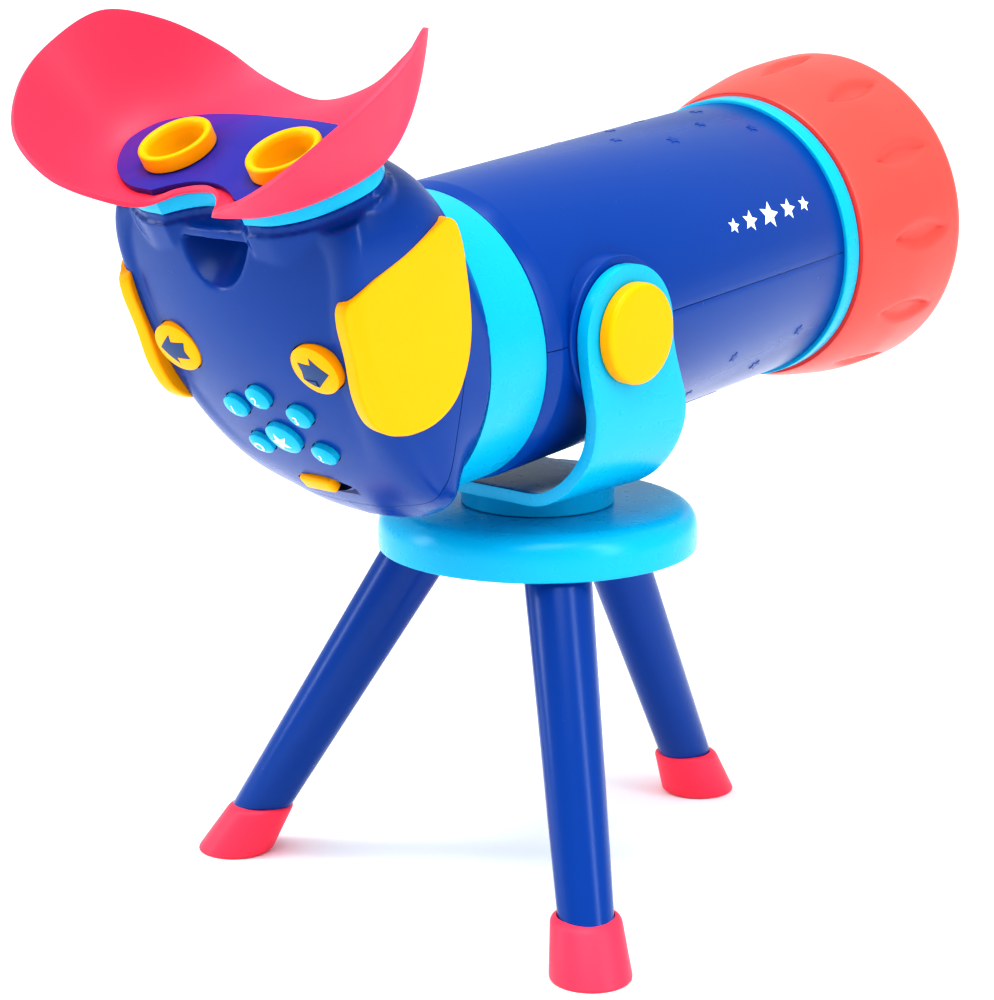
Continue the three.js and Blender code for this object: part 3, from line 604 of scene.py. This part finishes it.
# The outline is half of the head's rim, from its top to its bottom, as (x, z).
head = {
    "rearY": -94, "rearZ": 232, "radius": 58.6, "middle": 236, "rimDepth": 15, "rimGap": 1.5, "power": 2.2,
    "rearShare": 0.15, "sideShare": 0.6, "topSwell": 14, "sideSwell": 0.05, "frontPower": 1.6,
    "flatTop": 0.82, "flatBottom": 0.62, "grid": (120, 70), "voxel": 0.95, "smoothing": 3,
    "outline": [(0, 303), (24, 303), (47, 301), (59, 294), (62.5, 281), (60, 262), (56.5, 238), (54, 216),
                (52, 200), (49, 189), (44, 181), (34, 174.5), (20, 169.8), (0, 168)],
    "seam": -110, "seamGap": 0.35, "neckInset": -0.6, "neckDeep": 18, "lipOut": 1.1, "lipDeep": 12,
    "scoop": {"at": (0, -189, 286), "turn": -0.5, "half": (20, 26, 34), "ledge": 3.5},
}
outlineAt = byLength([Vector((*point, 0)) for point in head["outline"]])

# The control panel is the head's front, which leans and bends along z and is crowned along x.
panel = {"y": -122.6, "z": 184.8, "slope": 1.034, "bend": 0.00491, "crown": 0.0026}


def panelAt(z):
    rise = z - panel["z"]
    return panel["y"] - panel["slope"] * rise + panel["bend"] * rise ** 2


def panelCrown(x):
    return panel["crown"] * x * x


def panelMatrix(x, z):
    slope = math.atan2(1, panel["slope"] - 2 * panel["bend"] * (z - panel["z"]))
    place = Matrix.Translation((x, panelAt(z) + panelCrown(x), z))
    return place @ Matrix.Rotation(math.pi - slope, 4, "X")


def headPoint(around, along):
    h = head
    half = min(around, 1 - around) * 2
    side = 1 if around < 0.5 else -1
    outline = outlineAt(half)
    frontX, frontZ = side * outline.x, outline.y
    angle = around * math.tau
    if along < h["rearShare"]:  # the flat disc against the barrel
        radius = h["radius"] * (along / h["rearShare"])
        return Vector((radius * math.sin(angle), h["rearY"], h["rearZ"] + radius * math.cos(angle)))
    rear = Vector((h["radius"] * math.sin(angle), h["rearY"], h["rearZ"] + h["radius"] * math.cos(angle)))
    rimY = min(panelAt(frontZ) + h["rimDepth"], h["rearY"] - h["rimGap"])
    if along < h["sideShare"]:  # the sides, swelling from the disc to the rim
        part = (along - h["rearShare"]) / (h["sideShare"] - h["rearShare"])
        point = rear.lerp(Vector((frontX, rimY, frontZ)), 1 - (1 - part) ** h["power"])
        point.y = rear.y + (rimY - rear.y) * part
        swell = math.sin(math.pi * part)
        point.z += h["topSwell"] * swell * max(0, math.cos(angle)) ** 2
        point.x *= 1 + h["sideSwell"] * swell
        return point
    size = 1 - ((along - h["sideShare"]) / (1 - h["sideShare"])) ** h["frontPower"]
    z = h["middle"] + (frontZ - h["middle"]) * size
    flat = h["flatTop"] + (h["flatBottom"] - h["flatTop"]) * half * half
    turn = max(0, (size - flat) / (1 - flat))
    back = (rimY - panelAt(frontZ)) * (1 - math.sqrt(max(0, 1 - turn * turn)))
    x = frontX * size
    return Vector((x, panelAt(z) + panelCrown(x) * (1 - turn) + back, z))


def headLoft(around, along):
    return sheet(around, along, lambda u, v: headPoint(looped(u), v))


# Each control is x, z, half its width and half its height.
controls = {
    "arrow_back": (-35.3, 238, 11, 10), "arrow_next": (35.3, 238, 11, 10),
    "key_one": (-16.2, 217.1, 5.6, 5), "key_two": (0, 222.7, 5.6, 5), "key_three": (16.2, 217.1, 5.6, 5),
    "key_round": (-16.2, 201.3, 5.6, 5), "key_query": (16.2, 201.3, 5.6, 5), "key_star": (0, 205.9, 7.8, 7.4),
}
slider = {"x": -2.5, "z": 184.8, "wide": 8, "high": 3.6, "deep": 2.4, "sunk": 0.6, "round": 1.5}
pocket = {"depth": 5.6, "gap": 0.45, "above": 8, "steps": 48,
          "slotHalf": 14.2, "slotHigh": 5.4, "slotDepth": 3.2, "slotSteps": 56,
          # the bounds of the slot's inside that is painted darker as shade
          "shadeMargin": 0.1, "shadeLow": -4, "shadeHigh": -0.7}


def controlCutters():
    p = pocket
    cutters = []
    for x, z, wide, high in controls.values():
        hole = turned([(0, -p["depth"]), (1, -p["depth"]), (1, p["above"]), (0, p["above"])], p["steps"])
        size = Matrix.Diagonal((wide + p["gap"], high + p["gap"], 1, 1))
        cutters.append(moved(hole, panelMatrix(x, z) @ size))
    slot = bmesh.new()
    verts = bmesh.ops.create_circle(slot, segments=p["slotSteps"], radius=1)["verts"]
    lens = [(p["slotHalf"] * v.co.x, math.copysign(p["slotHigh"] * (1 - v.co.x ** 2), v.co.y)) for v in verts]
    slot.free()
    cutters.append(moved(slab(lens, -p["slotDepth"], p["above"]), panelMatrix(0, slider["z"])))
    return cutters


def makeHead():
    h, p = head, plate
    core = cutAway(headLoft(*h["grid"]), onPlate @ Vector((0, 0, p["neckBottom"])), plateUp)
    neck = moved(slab(plateOutline(h["neckInset"]), p["neckBottom"] - h["neckDeep"], p["neckTop"]), onPlate)
    lip = moved(slab(plateOutline(h["lipOut"]), p["neckBottom"] - h["lipDeep"], p["neckBottom"] + 1), onPlate)
    body = boolean(core, "UNION", neck, lip)
    scoop = bmesh.new()
    bmesh.ops.create_uvsphere(scoop, u_segments=48, v_segments=32, radius=1)
    moved(scoop, Matrix.Translation(h["scoop"]["at"]) @ Matrix.Rotation(h["scoop"]["turn"], 4, "X")
          @ Matrix.Diagonal((*h["scoop"]["half"], 1)))
    cutAway(scoop, onPlate @ Vector((0, 0, p["neckBottom"] - h["scoop"]["ledge"])), plateUp)
    body = boolean(body, "DIFFERENCE", scoop)
    body = remeshed(body, h["voxel"], h["smoothing"])
    print("head remeshed:", len(body.faces), "faces")
    rear = cutAway(body.copy(), (0, h["seam"], 0), (0, -1, 0))
    front = cutAway(body, (0, h["seam"] - h["seamGap"], 0), (0, 1, 0))
    front = boolean(front, "DIFFERENCE", joined(*controlCutters()))
    toSlot = panelMatrix(0, slider["z"]).inverted()
    for face in front.faces:  # the inside of the slot gets a darker blue: painted shade in the recess
        spot = toSlot @ face.calc_center_median()
        across = abs(spot.x) < pocket["slotHalf"] + pocket["shadeMargin"]
        along = abs(spot.y) < pocket["slotHigh"] + pocket["shadeMargin"]
        if across and along and pocket["shadeLow"] < spot.z < pocket["shadeHigh"]:
            face.material_index = 1
    casing = piece("head_front_casing", front, "blueBody", "telescope", ["head_front_shell"],
                   sharp=40)
    casing.data.materials.append(finishes["slotShadeBlue"])
    piece("head_rear_casing", rear, "blueBody", "telescope", ["head_rear_shell"], sharp=40)


makeHead()
print("head made")

# The outline, the middle and the three places the flat goes through are (y, z).
sidePanel = {
    "outline": [(-121, 289), (-115.5, 281), (-111, 264), (-109, 247), (-110.5, 233), (-115, 222),
                (-125, 214.5), (-139, 212.5), (-151, 217), (-158.5, 227), (-164, 243), (-169, 256),
                (-169.5, 262), (-164, 268.5), (-146, 279), (-130, 287)],
    "middle": (-137, 249), "flat": [(-122, 264), (-152, 254), (-127, 228)],
    "ringSteps": 120, "grid": (120, 24), "skinGrid": (160, 110), "rayFrom": 100,
    "proud": 1.8, "dip": 2.5, "lift": 1, "follow": 0.5, "thickness": 6, "round": 1.3,
}


def makeSidePanels():
    s = sidePanel
    tree = BVHTree.FromBMesh(headLoft(*s["skinGrid"]))
    points = [Vector((*point, 0)) for point in s["outline"]]
    ring = [curvePoint(points, i / s["ringSteps"], True, False) for i in range(s["ringSteps"])]
    middle = Vector((*s["middle"], 0))

    def skinAt(y, z):
        hit = tree.ray_cast(Vector((s["rayFrom"], y, z)), Vector((-1, 0, 0)))[0]
        return hit.x if hit else 0

    depths = Vector([skinAt(y, z) for y, z in s["flat"]])
    flatPlane = Matrix([(y, z, 1) for y, z in s["flat"]]).inverted() @ depths

    def place(around, out):
        # partly the head's own skin, partly the flat through three places on it
        edge = curvePoint(ring, looped(around), True)
        spot = middle.lerp(edge, out)
        level = flatPlane.dot(Vector((spot.x, spot.y, 1)))
        own = max(skinAt(spot.x, spot.y) + s["proud"], level - s["dip"])
        return Vector((s["follow"] * own + (1 - s["follow"]) * (level + s["lift"]), spot.x, spot.y))

    for side in ("right", "left"):
        cover = sheet(*s["grid"], place)
        if sum(face.normal.x for face in cover.faces) < 0:
            bmesh.ops.reverse_faces(cover, faces=cover.faces)
        cover = softened(thick(cover, s["thickness"]), s["round"], 4, 45)
        if side == "left":
            moved(cover, Matrix.Scale(-1, 4, (1, 0, 0)))
            bmesh.ops.recalc_face_normals(cover, faces=cover.faces)
        piece(f"side_panel_{side}_cover", cover, "yellowPlastic", "telescope", [f"side_panel_{side}"],
              sharp=50)


makeSidePanels()
print("side panels made")

key = {
    "depth": 3.2, "proud": 2, "dome": 1.5, "edge": 0.1, "domeSteps": 10, "steps": 64,
    "digit": 5.6, "ring": (1.9, 0.8), "star": (4.6, 2), "markLift": 0.12, "markThickness": 0.35,
    "arrow": [(7.9, 0), (0.6, 6.4), (0.6, 3.4), (-6, 3.6), (-5, 0), (-6, -3.6), (0.6, -3.4), (0.6, -6.4)],
}


def onDome(bm, wide, high):
    # lays a flat mark on a key's dome
    for vert in bm.verts:
        x, y = vert.co.x / wide, vert.co.y / high
        vert.co.z = key["proud"] + key["dome"] * (1 - x ** 2 - y ** 2) + key["markLift"]
    bmesh.ops.recalc_face_normals(bm, faces=bm.faces)
    if sum(face.normal.z for face in bm.faces) < 0:
        bmesh.ops.reverse_faces(bm, faces=bm.faces)
    return thick(bm, key["markThickness"])


def flatShape(outline, cuts):
    bm = bmesh.new()
    bm.faces.new([bm.verts.new((x, y, 0)) for x, y in outline])
    bmesh.ops.triangulate(bm, faces=bm.faces[:])
    bmesh.ops.subdivide_edges(bm, edges=bm.edges[:], cuts=cuts, use_grid_fill=True)
    return bm


def digit(text):
    curve = bpy.data.curves.new("digit", "FONT")
    curve.body = text
    curve.size = key["digit"]
    curve.align_x = "CENTER"
    curve.align_y = "CENTER"
    obj = bpy.data.objects.new("digit", curve)
    bpy.context.scene.collection.objects.link(obj)
    bpy.context.view_layer.update()
    bm = applied(obj)
    bmesh.ops.remove_doubles(bm, verts=bm.verts, dist=0.01)
    bmesh.ops.subdivide_edges(bm, edges=bm.edges[:], cuts=1)
    low = [min(v.co[i] for v in bm.verts) for i in (0, 1)]
    high = [max(v.co[i] for v in bm.verts) for i in (0, 1)]
    bmesh.ops.translate(bm, verts=bm.verts, vec=(-(low[0] + high[0]) / 2, -(low[1] + high[1]) / 2, 0))
    return bm


def ringMark(radius, width):
    bm = bmesh.new()
    a = bm.verts.new((radius - width / 2, 0, 0))
    b = bm.verts.new((radius + width / 2, 0, 0))
    edge = bm.edges.new((a, b))
    bmesh.ops.spin(bm, geom=[a, b, edge], cent=(0, 0, 0), axis=(0, 0, 1), angle=math.tau, steps=32,
                   use_merge=True)
    return bm


def makeControls():
    k = key
    marks = {
        "arrow_back": lambda: flatShape([(-x, y) for x, y in k["arrow"]], 3),
        "arrow_next": lambda: flatShape(k["arrow"], 3),
        "key_one": lambda: digit("1"), "key_two": lambda: digit("2"), "key_three": lambda: digit("3"),
        "key_round": lambda: ringMark(*k["ring"]), "key_query": lambda: digit("?"),
        "key_star": lambda: flatShape([(-y, x) for x, y in starOutline(5, *k["star"])], 2),
    }
    dome = [(i / k["domeSteps"], k["proud"] + k["dome"] * (1 - (i / k["domeSteps"]) ** 2))
            for i in range(k["domeSteps"])]
    side = [(1, k["proud"] - k["edge"], k["edge"]), (1, -k["depth"]), (0, -k["depth"])]
    for name, (x, z, wide, high) in controls.items():
        big = name.startswith("arrow")
        place = panelMatrix(x, z)
        cap = moved(turned(dome + side, k["steps"]), Matrix.Diagonal((wide, high, 1, 1)))
        finish, slot = ("yellowPlastic", "yellow_plastic") if big else ("cyanBody", "cyan_plastic")
        piece(f"{name}_cap", cap, finish, name, [name], place, 50)
        piece(f"{name}_mark", onDome(marks[name](), wide, high), "markNavy" if big else "markWhite", name,
              place=place)
    s = slider
    knob = bmesh.new()
    bmesh.ops.create_cube(knob, size=2)
    moved(knob, Matrix.Translation((0, 0, -s["sunk"]))
          @ Matrix.Diagonal((s["wide"], s["high"], s["deep"], 1)))
    piece("power_slider_knob", softened(knob, s["round"], 4), "yellowPlastic", "slider", ["power_slider"],
          panelMatrix(s["x"], s["z"]))


makeControls()
print("controls made")

# Each pair is a place on the plate's outline and the place of the brim beyond it.
visor = {
    "thickness": 1.7, "gap": 0.3, "round": 0.7, "grid": (220, 26),
    "hidden": 0.1, "bendAt": 0.5, "bendFlat": 0.85,
    "pairs": [((0, 39.7), (0, -122, 326)), ((20, 39.3), (26, -122.5, 332.5)), ((39, 36.7), (46, -126.5, 344)),
              ((50, 33.2), (66, -138, 354)), ((57.5, 26.5), (81, -154, 357)), ((60, 18.5), (88, -173, 346)),
              ((57.5, 10.5), (85, -190, 333)), ((48, -1.5), (71, -205, 316)), ((38, -7.8), (50, -208, 303)),
              ((29, -10.2), (34, -205, 298)), ((21, -10.5), (19, -194, 294)),
              ((12, -4.6), (10.5, -183.5, 298.5)), ((0, -2.25), (0, -179.5, 300.4))],
}
eyecup = {
    "steps": 96,
    "profile": [(6.5, -12), (11.1, -12), (11.1, 0.3), (14.1, 0.3, 0.3), (14.1, 6.4, 1.1), (11.9, 6.4, 1),
                (10.6, 4.6, 1), (9.7, -3, 2), (6.5, -10, 0.8)],
}


def visorSheet():
    v = visor
    level = -plate["thickness"] - v["gap"] - v["thickness"] / 2
    base = [onPlate @ Vector((x, q, level)) for (x, q), _ in v["pairs"]]
    rim = [Vector(point) for _, point in v["pairs"]]
    base, rim = (run + [Vector((-p.x, p.y, p.z)) for p in reversed(run[1:-1])] for run in (base, rim))
    middle = onPlate @ Vector((0, plate["eyeAlong"], level))

    def place(around, out):
        near = curvePoint(base, looped(around), True, False)
        far = curvePoint(rim, looped(around), True, False)
        if out < v["hidden"]:  # the part clamped under the plate
            return near.lerp(middle, v["hidden"] * (1 - out / v["hidden"]))
        t = (out - v["hidden"]) / (1 - v["hidden"])
        reach = far - near
        bend = near + (reach - plateUp * reach.dot(plateUp) * v["bendFlat"]) * v["bendAt"]
        return near * (1 - t) ** 2 + bend * 2 * t * (1 - t) + far * t * t

    return sheet(*v["grid"], place)


def makeEyepiece():
    p = plate
    brim = softened(thick(visorSheet(), visor["thickness"], 0), visor["round"], 4)
    piece("visor_brim", brim, "coralRubber", "telescope", ["visor"], sharp=50)
    spots = [Matrix.Translation((way * p["eyeSpacing"], p["eyeAlong"], 0)) for way in (-1, 1)]
    bore = [(0, -p["boreHalf"]), (p["boreRadius"], -p["boreHalf"]), (p["boreRadius"], p["boreHalf"]),
            (0, p["boreHalf"])]
    holes = [moved(turned(bore, p["boreSteps"]), spot) for spot in spots]
    cover = boolean(slab(plateOutline(p["inset"]), -p["thickness"], 0), "DIFFERENCE", joined(*holes))
    piece("eyepiece_plate_cover", softened(cover, p["round"]), "violetPlate", "telescope",
          ["eyepiece_plate"], onPlate)
    band = softened(slab(plateOutline(p["gasketInset"]), p["gasketBottom"], p["gasketTop"]), p["gasketRound"])
    piece("eyepiece_gasket_band", band, "cyanBody", "telescope", ["eyepiece_gasket"], onPlate)
    for side, spot in zip(("left", "right"), spots):
        cup = turned(eyecup["profile"], eyecup["steps"], closed=True)
        piece(f"eyecup_{side}_ring", cup, "yellowPlastic", "telescope", [f"eyecup_{side}"],
              onPlate @ spot)


makeEyepiece()
print("eyepiece made")

# These keep the frame's own shape and only get a finish.
kept = {
    "cyanBody": ["hub_cover"],
    "steelScrew": ["swivel_washer", "swivel_screw", "pivot_pin_right", "pivot_pin_left", "battery_door_screw",
                   "wheel_motor"],
    "clearWindow": ["front_window", "eye_lens_left", "eye_lens_right", "lamp"],
    "boardGreen": ["circuit_board"],
    "blackPart": ["speaker", "battery_cradle"],
    "filmDisc": ["image_wheel"],
    "cellJacket": ["battery_1", "battery_2", "battery_3"],
}
for finish, names in kept.items():
    for name in names:
        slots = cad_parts[name].data.materials
        for i in range(len(slots)):
            slots[i] = finishes[finish]
print("frame pieces finished")

studio = {
    "camera": (728.8, -856.0, 420.9), "look": (0.6393, -0.7341, 0.2289), "lens": 102.255,
    "shiftX": -0.00968, "clip": (0.05, 100), "world": 0.58, "floorHalf": 30, "aim": (0, 0, 0.2),
    "sun": {"from": (0.15, -0.35, 1), "strength": 1.7, "spread": 50},
    "lights": {  # place in metres, size along and across, watts
        "leftStrip": ((-1.2, -1.0, 0.9), 1.5, 0.35, 9), "rightStrip": ((1.5, 0.1, 0.9), 1.5, 0.35, 9),
        "topLight": ((0.1, -0.2, 1.8), 1.2, 0.6, 8),
    },
}


def makeStudio():
    scene = bpy.context.scene
    camera = bpy.data.objects.new("camera", bpy.data.cameras.new("camera"))
    scene.collection.objects.link(camera)
    camera.data.lens = studio["lens"]
    camera.data.shift_x = studio["shiftX"]
    camera.data.clip_start, camera.data.clip_end = studio["clip"]
    camera.location = toFrame @ Vector(studio["camera"])
    camera.rotation_mode = "QUATERNION"
    camera.rotation_quaternion = (-Vector(studio["look"])).to_track_quat("-Z", "Y")
    scene.camera = camera
    world = bpy.data.worlds.new("studioLight")
    world.use_nodes = True
    background = world.node_tree.nodes["Background"]
    background.inputs["Color"].default_value = (1, 1, 1, 1)
    background.inputs["Strength"].default_value = studio["world"]
    scene.world = world
    sun = bpy.data.lights.new("overheadLight", "SUN")
    sun.energy = studio["sun"]["strength"]
    sun.angle = math.radians(studio["sun"]["spread"])
    overhead = bpy.data.objects.new("overheadLight", sun)
    scene.collection.objects.link(overhead)
    overhead.rotation_mode = "QUATERNION"
    overhead.rotation_quaternion = Vector(studio["sun"]["from"]).to_track_quat("Z", "Y")
    for name, (place, tall, wide, watts) in studio["lights"].items():
        lamp = bpy.data.lights.new(name, "AREA")
        lamp.shape = "RECTANGLE"
        lamp.size = wide
        lamp.size_y = tall
        lamp.energy = watts
        obj = bpy.data.objects.new(name, lamp)
        scene.collection.objects.link(obj)
        obj.location = place
        obj.rotation_mode = "QUATERNION"
        obj.rotation_quaternion = (Vector(studio["aim"]) - Vector(place)).to_track_quat("-Z", "Y")
    floor = bmesh.new()
    bmesh.ops.create_grid(floor, x_segments=1, y_segments=1, size=studio["floorHalf"])
    ground = asObject(floor, "studioFloor")
    ground.data.materials.append(finishes["studioFloor"])
    scene.view_settings.view_transform = "Standard"
    scene.view_settings.look = "High Contrast"


makeStudio()
print("studio made")
